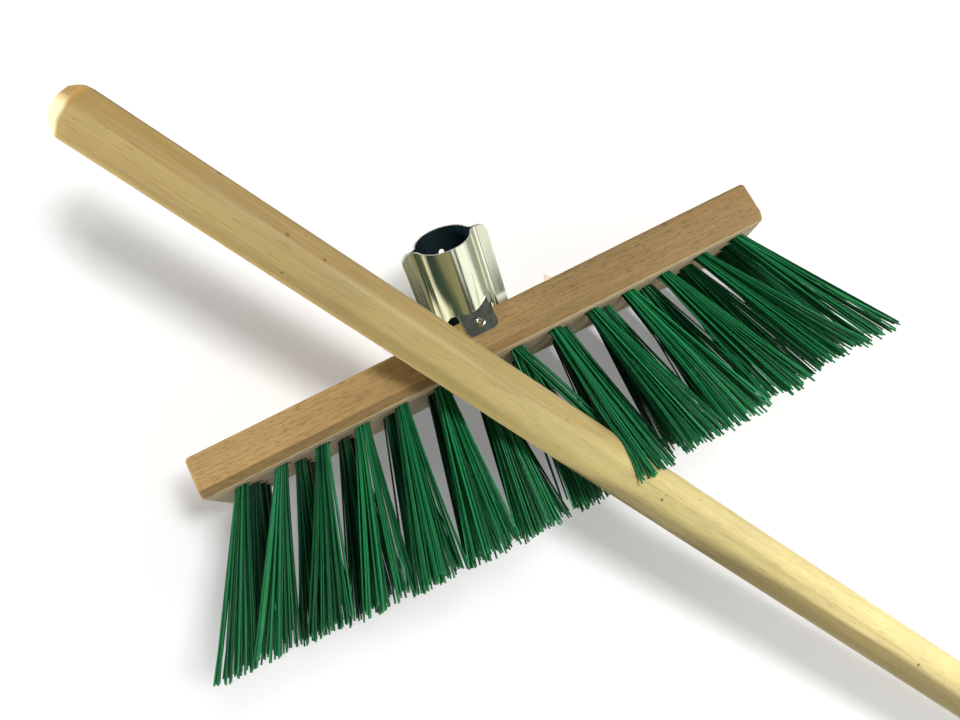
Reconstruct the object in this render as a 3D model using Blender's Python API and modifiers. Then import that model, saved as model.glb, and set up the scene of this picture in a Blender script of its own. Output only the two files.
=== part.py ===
"""A yard broom: a beech head with four rows of green bristle tufts and a pressed steel socket, lying on its
back edge and its rear bristles, with the loose pine handle across it. Metres, +Z up from the floor."""

import math
import random

import bmesh
import bpy
from mathutils import Matrix, Vector

# Head block: X along it, Y back from its front face, Z up from its bristle face
BLOCK_LENGTH = 0.330
BLOCK_DEPTH = 0.058
BLOCK_HEIGHT = 0.0235
BLOCK_EDGE_RADIUS = 0.0024
BLOCK_EDGE_STEPS = 2
BLOCK_EDGE_ANGLE = math.radians(60.0)
CHAMFER_DEPTH = 0.003
CHAMFER_HEIGHT = 0.0045

# Bristle tufts: how many each row has, from the front, how far it leans back, and where the rows stand
ROW_COUNTS = (14, 12, 12, 12)
ROW_LEANS = tuple(math.radians(angle) for angle in (-8.0, 11.0, 19.0, 25.2))
FRONT_ROW_SHARE = 0.245
REAR_ROW_SHARE = 0.793
FRONT_ROW_ENDS = (0.0184, 0.0152)
INNER_ROW_ENDS = (0.0220, 0.0170)
FAN_LEFT = math.radians(29.0)
FAN_RIGHT = math.radians(28.5)
BRISTLE_LENGTH = 0.097
BRISTLE_RAGGED = 0.003
STRANDS_A_TUFT = 8
STRAND_SIDES = 3
STRAND_BURY = 0.0008
STRAND_RADIUS_SHARE = 0.2
STRAND_RING_SHARE = 0.575
TUFT_SPREAD_WIDE = 0.0080
TUFT_SPREAD_DEEP = 0.0050
PLUG_DEPTH = 0.0140
PLUG_SIDES = 12
PLUG_STAND_OUT = 0.0006
HOLE_WALL = 0.0020
BRISTLE_SEED = 7

# Tufts that meet the handle: they may lean over or under it by some steps, or turn along its flank by some
SETTLE_STEP = math.radians(1.0)
LEAN_STEPS = 9
FLANK_STEPS = 40
FLANK_LEAN = math.radians(5.0)
CLEARANCE_STEPS = 24

# Socket: two pressed half tubes with wings, leaning forward over the front face
SOCKET_BORE_RADIUS = 0.0146
SHEET = 0.0009
SOCKET_LENGTH = 0.0558
SOCKET_LEAN = math.radians(46.3)
SOCKET_FOOT_X = -0.0020
SOCKET_FOOT_BACK = 0.0225
SOCKET_SKEW = math.radians(2.65)
WING_SPAN = 0.0238
WING_FILLET = 0.0040
WING_FILLET_STEPS = 4
CORNER_STEPS = 4
WING_CORNER_RADIUS = 0.0048
QUARTER_TUBE_STEPS = 7
TAB_WIDTH = 0.0178
TAB_SHIFT = 0.0022
TAB_DROP = 0.0110
PLATE_CORNER_RADIUS = 0.0035
TAB_RISE = 0.0080
TAB_RIVET_DROP = 0.0052
FOOT_WIDTH = 0.0200
FOOT_REACH = 0.0100
FOOT_OVERLAP = 0.0060
FOOT_RIVET_INSET = 0.0045
RELIEF_RADIUS = 0.0032
RELIEF_RISE = 0.0015
RELIEF_OFFSET = 0.0006
NAIL_HOLE_RADIUS = 0.0016
NAIL_HOLE_DROP = 0.0135

# Eyelets that hold the two shells to the block
EYELET_RIM_RADIUS = 0.00255
EYELET_RIM_HEIGHT = 0.0006
EYELET_RIM_ROUND = 0.0002
EYELET_SHANK_RADIUS = 0.0019
EYELET_BORE_RADIUS = 0.00145
EYELET_LENGTH = 0.0090
EYELET_SIDES = 20

# Handle: its hand end is domed, its other end is sawn square
HANDLE_LENGTH = 1.200
HANDLE_DIAMETER = 0.0286
HANDLE_SIDES = 32
DOME_LENGTH = 0.0085
DOME_CROWN = 0.0022
DOME_CROWN_RADIUS = 0.0098
CROWN_SHARES = (0.0, 0.5, 1.0)
SHOULDER_SHARES = (0.6, 0.3, 0.0)
SAWN_CHAMFER = 0.0010

# How the handle lies: where it crosses the block's front edge and how far its hand end is from there
HANDLE_CROSSING_X = -0.0204
HANDLE_HAND_REACH = 0.2158
HANDLE_SWING = math.radians(59.33)
HANDLE_ROUNDS = 20

# Turned pieces
SMOOTH_ANGLE = math.radians(35.0)
LATHE_MERGE = 0.00003

# Fits
GAP = 0.0003
HOLE_CLEARANCE = 0.0003
BRISTLE_CLEARANCE = 0.0010
CUT_OVERRUN = 0.0040

# Rows stand at equal steps, and a wall is left between the holes of one row and those of the next
ROW_STEP = BLOCK_DEPTH * (REAR_ROW_SHARE - FRONT_ROW_SHARE) / (len(ROW_COUNTS) - 1)
ROW_BACKS = tuple(BLOCK_DEPTH * FRONT_ROW_SHARE + ROW_STEP * row for row in range(len(ROW_COUNTS)))
PLUG_RADIUS = (ROW_STEP - HOLE_WALL) / 2 - HOLE_CLEARANCE
STRAND_RADIUS = PLUG_RADIUS * STRAND_RADIUS_SHARE
STRAND_RING = PLUG_RADIUS * STRAND_RING_SHARE

# The head leans so that its back top edge and the lowest strands of its rear row touch the floor together
REAR_TIP_BACK = ROW_BACKS[-1] + BRISTLE_LENGTH * math.sin(ROW_LEANS[-1]) + TUFT_SPREAD_DEEP
REAR_TIP_DROP = BRISTLE_LENGTH * math.cos(ROW_LEANS[-1])
HEAD_LEAN = math.atan2(REAR_TIP_BACK - BLOCK_DEPTH, BLOCK_HEIGHT + REAR_TIP_DROP)
FLOOR_NORMAL = Vector((0, math.cos(HEAD_LEAN), math.sin(HEAD_LEAN)))


def edge_support():
    """How far the rounded back top edge reaches along the floor's normal, from the head's own origin."""
    centre = Vector((0, BLOCK_DEPTH - BLOCK_EDGE_RADIUS, BLOCK_HEIGHT - BLOCK_EDGE_RADIUS))
    turns = [math.pi / 2 * step / BLOCK_EDGE_STEPS for step in range(BLOCK_EDGE_STEPS + 1)]
    reach = max(math.cos(turn - HEAD_LEAN) for turn in turns)
    return centre.dot(FLOOR_NORMAL) + BLOCK_EDGE_RADIUS * reach


FLOOR_DISTANCE = edge_support()
HEAD_TURN = -math.pi / 2 - HEAD_LEAN
HEAD_TO_FLOOR = Matrix.Translation((0, 0, FLOOR_DISTANCE)) @ Matrix.Rotation(HEAD_TURN, 4, "X")


def handle_axis():
    """The handle's hand end and its direction, above the floor: it rests on the block's front edge, and its
    sawn end on the floor."""
    radius = HANDLE_DIAMETER / 2
    edge = HEAD_TO_FLOOR @ Vector((HANDLE_CROSSING_X, 0, CHAMFER_HEIGHT))
    beyond = HANDLE_LENGTH - HANDLE_HAND_REACH
    slope = 0.0
    for _ in range(HANDLE_ROUNDS):
        lift = (radius + GAP) * math.sqrt(1 + (math.tan(slope) / math.sin(HANDLE_SWING)) ** 2)
        slope = math.asin((edge.z + lift - radius * math.cos(slope)) / beyond)
    level = math.cos(slope)
    along = Vector((math.cos(HANDLE_SWING) * level, -math.sin(HANDLE_SWING) * level, -math.sin(slope)))
    crossing = edge + Vector((0, 0, lift))
    return crossing - along * HANDLE_HAND_REACH, along


HAND_END, HANDLE_ALONG = handle_axis()


def clear_scene():
    for leftover in list(bpy.data.objects):
        bpy.data.objects.remove(leftover, do_unlink=True)


def make_collection(name):
    collection = bpy.data.collections.new(name)
    bpy.context.scene.collection.children.link(collection)
    return collection


def make_material(name, colour, roughness, metallic=0.0):
    material = bpy.data.materials.new(name)
    material.use_nodes = True
    shader = material.node_tree.nodes["Principled BSDF"]
    shader.inputs["Base Color"].default_value = (*colour, 1)
    shader.inputs["Roughness"].default_value = roughness
    shader.inputs["Metallic"].default_value = metallic
    return material


def add_object(name, shape, collection, parent=None, material=None):
    """Links a new object that holds a mesh, or the mesh made from a bmesh."""
    if isinstance(shape, bmesh.types.BMesh):
        mesh = bpy.data.meshes.new(name)
        bmesh.ops.recalc_face_normals(shape, faces=shape.faces)
        shape.to_mesh(mesh)
        shape.free()
        shape = mesh
    made = bpy.data.objects.new(name, shape)
    collection.objects.link(made)
    made.parent = parent
    if material:
        made.data.materials.append(material)
    return made


def add_cutter(name, shape, collection, parent=None):
    cutter = add_object(name, shape, collection, parent)
    cutter.hide_render = True
    cutter.display_type = "WIRE"
    return cutter


def boolean(target, tool, operation="DIFFERENCE"):
    modifier = target.modifiers.new(f"{operation.title()} {tool.name}", "BOOLEAN")
    modifier.operation = operation
    modifier.object = tool
    modifier.solver = "EXACT"


def add_cylinder(shape, radius, depth, sides, matrix):
    """A cylinder in the bmesh: its axis is the matrix's Z and its base is at the matrix's origin."""
    place = matrix @ Matrix.Translation((0, 0, depth / 2))
    bmesh.ops.create_cone(
        shape, cap_ends=True, segments=sides, radius1=radius, radius2=radius, depth=depth, matrix=place
    )


def add_box(shape, low, high):
    low, high = Vector(low), Vector(high)
    size = Matrix.Diagonal((*(high - low), 1))
    bmesh.ops.create_cube(shape, size=1, matrix=Matrix.Translation((low + high) / 2) @ size)


def smooth(made):
    made.data.shade_smooth()
    made.data.set_sharp_from_angle(angle=SMOOTH_ANGLE)


def row_places(row):
    """The X of each tuft in a row."""
    left, right = INNER_ROW_ENDS if row else FRONT_ROW_ENDS
    pitch = (BLOCK_LENGTH - left - right) / (ROW_COUNTS[row] - 1)
    return [left - BLOCK_LENGTH / 2 + pitch * tuft for tuft in range(ROW_COUNTS[row])]


def socket_matrix():
    """The socket's own frame in the head: Z out along the bore, Y to the rear shell, its origin where the
    bore's axis meets the block's top face."""
    skew = Matrix.Rotation(SOCKET_SKEW, 4, "Y")
    lean = Matrix.Rotation(SOCKET_LEAN, 4, "X")
    return Matrix.Translation((SOCKET_FOOT_X, SOCKET_FOOT_BACK, BLOCK_HEIGHT)) @ lean @ skew


def rear_foot_end():
    """How far back the rear shell's foot reaches, from the front face."""
    heel = SOCKET_FOOT_BACK + (SOCKET_BORE_RADIUS + SHEET) / math.cos(SOCKET_LEAN)
    return heel + FOOT_REACH


def tab_rivet_seat():
    """The tab's outer face at its eyelet, Z outward."""
    place = Vector((SOCKET_FOOT_X + TAB_SHIFT, -GAP - SHEET, BLOCK_HEIGHT - TAB_RIVET_DROP))
    return Matrix.Translation(place) @ Matrix.Rotation(math.pi / 2, 4, "X")


def foot_rivet_seat():
    """The foot's upper face at its eyelet, Z outward."""
    back = rear_foot_end() - FOOT_RIVET_INSET
    return Matrix.Translation((SOCKET_FOOT_X, back, BLOCK_HEIGHT + GAP + SHEET))


def cut_chamfers(shape):
    """Cuts the two long lower edges of the block's box."""
    middle = BLOCK_DEPTH / 2
    for side in (-1, 1):
        corner = Vector((0, middle + side * (middle - CHAMFER_DEPTH), 0))
        outward = Vector((0, side * CHAMFER_HEIGHT, -CHAMFER_DEPTH))
        solid = shape.verts[:] + shape.edges[:] + shape.faces[:]
        cut = bmesh.ops.bisect_plane(shape, geom=solid, plane_co=corner, plane_no=outward, clear_outer=True)
        edges = [item for item in cut["geom_cut"] if isinstance(item, bmesh.types.BMEdge)]
        bmesh.ops.edgenet_fill(shape, edges=edges)


def block_holes():
    """A blind hole for each tuft, and one for each eyelet."""
    shape = bmesh.new()
    downward = Matrix.Rotation(math.pi, 4, "X")
    radius = PLUG_RADIUS + HOLE_CLEARANCE
    depth = PLUG_DEPTH + GAP
    for row, back in enumerate(ROW_BACKS):
        for place in row_places(row):
            floor = Matrix.Translation((place, back, depth)) @ downward
            add_cylinder(shape, radius, depth + CUT_OVERRUN, PLUG_SIDES, floor)
    radius = EYELET_SHANK_RADIUS + HOLE_CLEARANCE
    depth = EYELET_LENGTH + GAP
    for seat in (tab_rivet_seat(), foot_rivet_seat()):
        floor = seat @ Matrix.Translation((0, 0, -depth))
        add_cylinder(shape, radius, depth + CUT_OVERRUN, EYELET_SIDES, floor)
    return shape


def build_block(parts, cutters, head, material):
    """The wooden block: chamfered under its long edges, rounded elsewhere, and drilled."""
    shape = bmesh.new()
    add_box(shape, (-BLOCK_LENGTH / 2, 0, 0), (BLOCK_LENGTH / 2, BLOCK_DEPTH, BLOCK_HEIGHT))
    cut_chamfers(shape)
    block = add_object("block", shape, parts, head, material)
    rounding = block.modifiers.new("Rounded edges", "BEVEL")
    rounding.width = BLOCK_EDGE_RADIUS
    rounding.segments = BLOCK_EDGE_STEPS
    rounding.limit_method = "ANGLE"
    rounding.angle_limit = BLOCK_EDGE_ANGLE
    boolean(block, add_cutter("block_holes", block_holes(), cutters, head))


def round_off(shape, corners, radius, kind):
    """Rounds the corners of a sheet, or the short edges at the corners of a plate."""
    bmesh.ops.bevel(shape, geom=corners, offset=radius, segments=CORNER_STEPS, profile=0.5, affect=kind)


def shell_outline():
    """Half of a shell's section from a wing's tip to the tube's crown: wing, fillet, quarter circle."""
    middle = SOCKET_BORE_RADIUS + SHEET / 2
    wing_plane = (GAP + SHEET) / 2
    centre_up = wing_plane + WING_FILLET
    centre_out = math.sqrt((middle + WING_FILLET) ** 2 - centre_up ** 2)
    meet = math.atan2(centre_up, centre_out)
    outline = [(WING_SPAN, wing_plane)]
    for step in range(WING_FILLET_STEPS):
        turn = -math.pi / 2 - (math.pi / 2 - meet) * step / WING_FILLET_STEPS
        fillet = (centre_out + WING_FILLET * math.cos(turn), centre_up + WING_FILLET * math.sin(turn))
        outline.append(fillet)
    for step in range(QUARTER_TUBE_STEPS + 1):
        turn = meet + (math.pi / 2 - meet) * step / QUARTER_TUBE_STEPS
        outline.append((middle * math.cos(turn), middle * math.sin(turn)))
    return outline


def shell_surface(side):
    """The open surface of one shell in the socket's frame, drawn along the bore, with rounded corners."""
    half = shell_outline()
    outline = half + [(-across, up) for across, up in reversed(half[:-1])]
    low = -2 * SOCKET_BORE_RADIUS * math.tan(SOCKET_LEAN)
    shape = bmesh.new()
    points = [shape.verts.new((across, side * up, low)) for across, up in outline]
    lines = [shape.edges.new(pair) for pair in zip(points, points[1:])]
    drawn = bmesh.ops.extrude_edge_only(shape, edges=lines)
    top = [item for item in drawn["geom"] if isinstance(item, bmesh.types.BMVert)]
    bmesh.ops.translate(shape, verts=top, vec=(0, 0, SOCKET_LENGTH - low))
    corners = [point for point in top if abs(abs(point.co.x) - WING_SPAN) < GAP]
    round_off(shape, corners, WING_CORNER_RADIUS, "VERTICES")
    return shape


def add_shell(name, side, parts, head, material):
    """One pressed shell: the front one is on side -1 of the socket's frame and the rear one on side 1."""
    shell = add_object(name, shell_surface(side), parts, head, material)
    shell.matrix_local = socket_matrix()
    shell.data.shade_smooth()
    sheet = shell.modifiers.new("Sheet", "SOLIDIFY")
    sheet.thickness = SHEET
    sheet.offset = 0
    sheet.use_even_offset = True
    return shell


def plate(low, high, free_axis):
    """A flat plate between two corners. It is rounded at its free end: the end at the lower Z of an upright
    plate, or at the higher Y of a lying one."""
    shape = bmesh.new()
    add_box(shape, low, high)
    end = low[2] if free_axis == 2 else high[1]
    edges = []
    for edge in shape.edges:
        first, second = (point.co for point in edge.verts)
        at_end = abs(first[free_axis] - end) < GAP and abs(second[free_axis] - end) < GAP
        if at_end and abs(first.x - second.x) < GAP:
            edges.append(edge)
    round_off(shape, edges, PLATE_CORNER_RADIUS, "EDGES")
    return shape


def eyelet_hole(shape, seat):
    start = seat @ Matrix.Translation((0, 0, -CUT_OVERRUN))
    add_cylinder(shape, EYELET_SHANK_RADIUS + HOLE_CLEARANCE, 2 * CUT_OVERRUN, EYELET_SIDES, start)


def add_tab(front, cutters, head, bore):
    """The tab runs up the block's front face into the half tube, between two round reliefs."""
    middle = SOCKET_FOOT_X + TAB_SHIFT
    low = (middle - TAB_WIDTH / 2, -GAP - SHEET, BLOCK_HEIGHT - TAB_DROP)
    high = (middle + TAB_WIDTH / 2, -GAP, BLOCK_HEIGHT + TAB_RISE)
    tab = add_cutter("front_tab", plate(low, high, 2), cutters, head)
    boolean(tab, bore)
    boolean(front, tab, "UNION")

    shape = bmesh.new()
    eyelet_hole(shape, tab_rivet_seat())
    for side in (-1, 1):
        across = middle + side * (TAB_WIDTH / 2 + RELIEF_OFFSET + RELIEF_RADIUS)
        centre = Matrix.Translation((across, SOCKET_FOOT_BACK, BLOCK_HEIGHT + RELIEF_RISE))
        forward = centre @ Matrix.Rotation(math.pi / 2, 4, "X")
        add_cylinder(shape, RELIEF_RADIUS, SOCKET_FOOT_BACK + CUT_OVERRUN, EYELET_SIDES, forward)
    boolean(front, add_cutter("front_shell_holes", shape, cutters, head))


def add_foot(rear, cutters, head, bore):
    """The foot lies on the block's top face behind the tube."""
    end = rear_foot_end()
    low = (SOCKET_FOOT_X - FOOT_WIDTH / 2, end - FOOT_REACH - FOOT_OVERLAP, BLOCK_HEIGHT - CUT_OVERRUN)
    high = (SOCKET_FOOT_X + FOOT_WIDTH / 2, end, BLOCK_HEIGHT + GAP + SHEET)
    foot = add_cutter("rear_foot", plate(low, high, 1), cutters, head)
    boolean(foot, bore)
    boolean(rear, foot, "UNION")


def drill_rear_shell(rear, cutters, head):
    """The hole in the foot for its eyelet, and the one in the tube for the handle's nail."""
    shape = bmesh.new()
    eyelet_hole(shape, foot_rivet_seat())
    centre = socket_matrix() @ Matrix.Translation((0, 0, SOCKET_LENGTH - NAIL_HOLE_DROP))
    backward = centre @ Matrix.Rotation(-math.pi / 2, 4, "X")
    add_cylinder(shape, NAIL_HOLE_RADIUS, SOCKET_BORE_RADIUS + CUT_OVERRUN, EYELET_SIDES, backward)
    boolean(rear, add_cutter("rear_shell_holes", shape, cutters, head))


def build_socket(parts, cutters, head, material):
    """The two shells, each trimmed to the block's top face, with its tab or foot."""
    front = add_shell("socket_front_shell", -1, parts, head, material)
    rear = add_shell("socket_rear_shell", 1, parts, head, material)

    shape = bmesh.new()
    start = socket_matrix() @ Matrix.Translation((0, 0, -SOCKET_LENGTH))
    add_cylinder(shape, SOCKET_BORE_RADIUS, 2 * SOCKET_LENGTH + CUT_OVERRUN, 4 * QUARTER_TUBE_STEPS, start)
    bore = add_cutter("socket_bore", shape, cutters, head)

    shape = bmesh.new()
    wide = 2 * WING_SPAN
    add_box(shape, (-wide, -BLOCK_DEPTH, -BLOCK_DEPTH), (wide, 2 * BLOCK_DEPTH, BLOCK_HEIGHT + GAP))
    below_top_face = add_cutter("below_top_face", shape, cutters, head)

    boolean(front, below_top_face)
    add_tab(front, cutters, head, bore)
    add_foot(rear, cutters, head, bore)
    boolean(rear, below_top_face)
    drill_rear_shell(rear, cutters, head)


def turned_profile(outline, closed=False):
    """The edges of a profile in the XZ plane, from its radii and heights."""
    shape = bmesh.new()
    points = [shape.verts.new((radius, 0, height)) for radius, height in outline]
    for pair in zip(points, points[1:]):
        shape.edges.new(pair)
    if closed:
        shape.edges.new((points[-1], points[0]))
    mesh = bpy.data.meshes.new("profile")
    shape.to_mesh(mesh)
    shape.free()
    return mesh


def turn_on_lathe(made, sides):
    screw = made.modifiers.new("Turned", "SCREW")
    screw.steps = sides
    screw.render_steps = sides
    screw.use_merge_vertices = True
    screw.merge_threshold = LATHE_MERGE
    smooth(made)


def build_eyelet(name, seat, parts, head, material):
    """A hollow rivet: a turned tube with a rim, open at both ends."""
    top = GAP + EYELET_RIM_HEIGHT
    outline = [
        (EYELET_BORE_RADIUS, top - EYELET_RIM_ROUND),
        (EYELET_BORE_RADIUS + EYELET_RIM_ROUND, top),
        (EYELET_RIM_RADIUS - EYELET_RIM_ROUND, top),
        (EYELET_RIM_RADIUS, top - EYELET_RIM_ROUND),
        (EYELET_RIM_RADIUS, GAP),
        (EYELET_SHANK_RADIUS, GAP),
        (EYELET_SHANK_RADIUS, -EYELET_LENGTH),
        (EYELET_BORE_RADIUS, -EYELET_LENGTH),
    ]
    eyelet = add_object(name, turned_profile(outline, closed=True), parts, head, material)
    eyelet.matrix_local = seat
    turn_on_lathe(eyelet, EYELET_SIDES)


def build_handle(parts, broom, material):
    """The round handle: its domed hand end is at its own origin, and its sawn end has a fine chamfer."""
    radius = HANDLE_DIAMETER / 2
    shoulder = radius - DOME_CROWN_RADIUS
    outline = [(DOME_CROWN_RADIUS * share, -DOME_CROWN * share ** 2) for share in CROWN_SHARES]
    for share in SHOULDER_SHARES:
        outline.append((radius - shoulder * share ** 2, -DOME_LENGTH + (DOME_LENGTH - DOME_CROWN) * share))
    outline.append((radius, -HANDLE_LENGTH + SAWN_CHAMFER))
    outline.append((radius - SAWN_CHAMFER, -HANDLE_LENGTH))
    outline.append((0, -HANDLE_LENGTH))
    handle = add_object("handle", turned_profile(outline), parts, broom, material)
    upward = (-HANDLE_ALONG).to_track_quat("Z", "Y").to_matrix().to_4x4()
    handle.matrix_local = Matrix.Translation(HAND_END) @ upward
    turn_on_lathe(handle, HANDLE_SIDES)
    return handle


def row_fan(place):
    """The sideways lean of a tuft, which grows evenly from one end of the front row to the other."""
    front = row_places(0)
    share = (place - front[0]) / (front[-1] - front[0])
    return -FAN_LEFT + (FAN_LEFT + FAN_RIGHT) * share


def tuft_strands(row, place, fan, lean, lengths):
    """The start and tip of each strand, over the floor: one in the tuft's middle and the rest round it."""
    root = Vector((place, ROW_BACKS[row], -PLUG_STAND_OUT))
    strands = []
    for strand, length in enumerate(lengths):
        ring = Vector((0, 0, 0))
        if strand:
            turn = math.tau * (strand + row / 2) / (len(lengths) - 1)
            ring = Vector((math.cos(turn), math.sin(turn), 0))
        drop = length * math.cos(fan) * math.cos(lean)
        tip = root + drop * Vector((math.tan(fan), math.tan(lean), -1))
        tip += Vector((ring.x * TUFT_SPREAD_WIDE, ring.y * TUFT_SPREAD_DEEP, 0))
        start = root + ring * STRAND_RING + Vector((0, 0, STRAND_BURY))
        above = HEAD_TO_FLOOR @ tip
        above.z = max(above.z, STRAND_RADIUS)
        strands.append((HEAD_TO_FLOOR @ start, above))
    return strands


def clear_of_handle(strands):
    """Whether every strand passes the handle without touching it."""
    least = HANDLE_DIAMETER / 2 + STRAND_RADIUS + BRISTLE_CLEARANCE
    for start, tip in strands:
        for step in range(CLEARANCE_STEPS + 1):
            away = start.lerp(tip, step / CLEARANCE_STEPS) - HAND_END
            if (away - HANDLE_ALONG * away.dot(HANDLE_ALONG)).length < least:
                return False
    return True


def settled_strands(row, place, lengths):
    """A tuft that would run into the handle lies over or under it where it can, or else along its flank."""
    fan = row_fan(place)
    for step in range(LEAN_STEPS):
        for turn in (-step * SETTLE_STEP, step * SETTLE_STEP):
            strands = tuft_strands(row, place, fan, ROW_LEANS[row] + turn, lengths)
            if clear_of_handle(strands):
                return strands
    for step in range(FLANK_STEPS):
        strands = tuft_strands(row, place, fan + step * SETTLE_STEP, FLANK_LEAN, lengths)
        if clear_of_handle(strands):
            break
    return strands


def build_bundle(name, row, place, cutters, head, chance):
    """The loose strands of one tuft, which its plug takes up."""
    to_head = HEAD_TO_FLOOR.inverted()
    lengths = [BRISTLE_LENGTH + BRISTLE_RAGGED * chance.uniform(-1, 1) for _ in range(STRANDS_A_TUFT)]
    shape = bmesh.new()
    for start, tip in settled_strands(row, place, lengths):
        start = to_head @ start
        along = to_head @ tip - start
        placed = Matrix.Translation(start) @ along.to_track_quat("Z", "Y").to_matrix().to_4x4()
        add_cylinder(shape, STRAND_RADIUS, along.length, STRAND_SIDES, placed)
    return add_cutter(f"strands_{name}", shape, cutters, head)


def build_tuft(name, row, place, bundle, parts, head, material):
    """The round plug that fills one hole, fused with the strands that leave it."""
    shape = bmesh.new()
    end = Matrix.Translation((place, ROW_BACKS[row], -PLUG_STAND_OUT))
    add_cylinder(shape, PLUG_RADIUS, PLUG_DEPTH + PLUG_STAND_OUT, PLUG_SIDES, end)
    tuft = add_object(name, shape, parts, head, material)
    boolean(tuft, bundle, "UNION")


def stand_over_origin(broom, widest):
    """Moves the broom so that the world's origin is under its middle. The widest pieces set its outline."""
    graph = bpy.context.evaluated_depsgraph_get()
    points = []
    for piece in widest:
        evaluated = piece.evaluated_get(graph)
        points += [evaluated.matrix_world @ point.co for point in evaluated.to_mesh().vertices]
        evaluated.to_mesh_clear()
    for axis in (0, 1):
        places = [point[axis] for point in points]
        broom.location[axis] = -(min(places) + max(places)) / 2


def main():
    clear_scene()
    parts = make_collection("yard_broom")
    cutters = make_collection("cutters")
    broom = bpy.data.objects.new("broom_frame", None)
    parts.objects.link(broom)
    head = bpy.data.objects.new("head_frame", None)
    parts.objects.link(head)
    head.parent = broom
    head.matrix_local = HEAD_TO_FLOOR

    beech = make_material("beech", (0.62, 0.42, 0.24), 0.55)
    pine = make_material("pine", (0.85, 0.70, 0.40), 0.40)
    zinc = make_material("zinc_plated_steel", (0.72, 0.72, 0.66), 0.25, 1.0)
    green = make_material("green_bristle", (0.02, 0.26, 0.10), 0.35)

    chance = random.Random(BRISTLE_SEED)
    tufts = []
    for row in range(len(ROW_COUNTS)):
        for number, place in enumerate(row_places(row), start=1):
            name = f"tuft_{row + 1}_{number:02d}"
            tufts.append((name, row, place, build_bundle(name, row, place, cutters, head, chance)))
    handle = build_handle(parts, broom, pine)
    stand_over_origin(broom, [handle] + [bundle for *_, bundle in tufts])

    build_block(parts, cutters, head, beech)
    build_socket(parts, cutters, head, zinc)
    build_eyelet("tab_eyelet", tab_rivet_seat(), parts, head, zinc)
    build_eyelet("foot_eyelet", foot_rivet_seat(), parts, head, zinc)
    for name, row, place, bundle in tufts:
        build_tuft(name, row, place, bundle, parts, head, green)


main()
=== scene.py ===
"""Dresses the yard broom: planed beech block, green bristles, pressed zinc-plated socket and varnished pine handle."""

import math

import bmesh
import bpy
from mathutils import Matrix, Vector


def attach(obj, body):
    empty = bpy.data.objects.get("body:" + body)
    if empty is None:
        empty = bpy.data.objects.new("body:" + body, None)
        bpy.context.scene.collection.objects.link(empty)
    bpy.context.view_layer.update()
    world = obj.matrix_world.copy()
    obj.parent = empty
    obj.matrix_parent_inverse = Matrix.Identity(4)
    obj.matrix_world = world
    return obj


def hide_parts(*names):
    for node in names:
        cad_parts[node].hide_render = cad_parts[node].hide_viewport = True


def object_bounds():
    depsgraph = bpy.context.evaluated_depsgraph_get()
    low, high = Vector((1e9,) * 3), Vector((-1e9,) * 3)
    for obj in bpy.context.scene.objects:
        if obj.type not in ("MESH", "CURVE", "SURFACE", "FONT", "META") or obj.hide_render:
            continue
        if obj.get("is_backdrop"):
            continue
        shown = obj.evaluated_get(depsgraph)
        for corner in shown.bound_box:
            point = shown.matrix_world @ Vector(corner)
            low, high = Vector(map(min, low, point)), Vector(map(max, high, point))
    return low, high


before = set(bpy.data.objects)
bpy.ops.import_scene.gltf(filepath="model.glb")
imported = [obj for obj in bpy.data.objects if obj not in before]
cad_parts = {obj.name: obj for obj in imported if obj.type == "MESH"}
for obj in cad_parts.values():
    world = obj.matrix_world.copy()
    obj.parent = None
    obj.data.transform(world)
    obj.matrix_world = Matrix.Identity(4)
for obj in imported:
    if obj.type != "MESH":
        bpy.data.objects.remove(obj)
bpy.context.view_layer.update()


# The studio: the broom lies on a white sheet and is seen from almost straight above it. Two soft lamps at the upper
# right throw the shadows down and to the left, and three others light the flanks that they leave dark.
studio = bpy.context.scene
studio.view_settings.view_transform = "Standard"

camera = bpy.data.objects.new("camera", bpy.data.cameras.new("camera"))
studio.collection.objects.link(camera)
studio.camera = camera
camera.data.sensor_width = 36.0
camera.data.lens = 28.74
camera.data.clip_start = 0.01
camera.matrix_world = Matrix(
    (
        (0.88861, 0.44590, -0.10748, -0.197426),
        (-0.436089, 0.893956, 0.103305, 0.368817),
        (0.142142, -0.044921, 0.988828, 0.453339),
        (0, 0, 0, 1),
    )
)
white, warm_white = (1.0, 1.0, 1.0), (1.0, 0.98, 0.92)


def hang_lamp(name, place, aim, size, power, colour=white, mirrored=True):
    """A square soft lamp that faces a point, and that polished metal mirrors or doesn't."""
    lamp = bpy.data.lights.new(name, "AREA")
    lamp.size = size
    lamp.energy = power
    lamp.color = colour
    hung = bpy.data.objects.new(name, lamp)
    studio.collection.objects.link(hung)
    hung.location = place
    hung.rotation_euler = (Vector(aim) - Vector(place)).to_track_quat("-Z", "Y").to_euler()
    hung.visible_glossy = mirrored


hang_lamp("key_lamp", (0.95, 0.85, 2.45), (-3.0, -2.0, 0.0), 0.62, 61.0)
hang_lamp("top_lamp", (0.45, 1.10, 1.60), (-4.0, -3.6, 0.0), 0.40, 12.5, mirrored=False)
hang_lamp("window_lamp", (0.75, 0.02, 0.35), (0.15, -0.20, 0.0), 0.40, 3.4, warm_white)
hang_lamp("front_lamp", (0.45, -0.85, 0.80), (-0.10, 0.25, 0.0), 0.70, 3.7, mirrored=False)
hang_lamp("flank_lamp", (-1.50, 0.78, 0.10), (-0.28, 0.50, 0.08), 0.18, 22.0, warm_white, mirrored=False)


def feed(tree, node, inputs):
    """Links each of a node's inputs to a socket, or sets it to a value. A colour is three numbers."""
    for name, value in inputs.items():
        socket = node.inputs[name]
        if isinstance(value, bpy.types.NodeSocket):
            tree.links.new(value, socket)
        else:
            socket.default_value = (*value, 1) if socket.type == "RGBA" else value


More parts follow.
